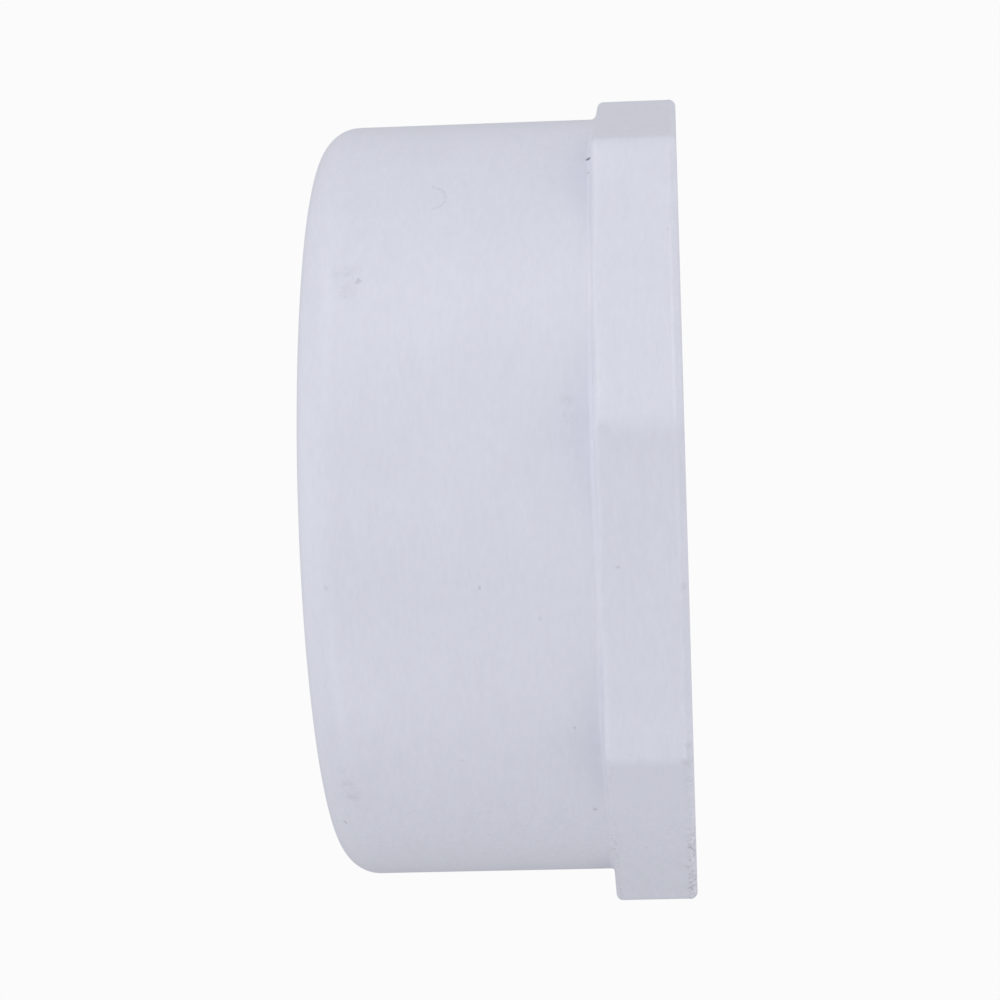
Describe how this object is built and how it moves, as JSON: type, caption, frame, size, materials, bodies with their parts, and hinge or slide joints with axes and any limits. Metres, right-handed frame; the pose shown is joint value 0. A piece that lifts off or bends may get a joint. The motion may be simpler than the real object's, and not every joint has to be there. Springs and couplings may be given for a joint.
{
  "type": "pipe cap",
  "caption": "Round moulded plastic cap that closes the end of a threaded pipe, with an octagonal wrench collar round its open end and a flat washer inside.",
  "frame": {"origin": "centre of the open face, where the cap stands on its open end", "axes": "+Z along the bore from the open face towards the closed end; flats of the collar face +X, -X, +Y and -Y"},
  "size_m": [0.0728, 0.0728, 0.0337],
  "materials": {
    "white_pvc": "moulded white rigid PVC, satin with faint turning streaks and handling marks",
    "washer_rubber": "moulded black rubber, matte"
  },
  "bodies": {
    "root": {"cap_body": "white_pvc", "sealing_washer": "washer_rubber"}
  },
  "joints": []
}
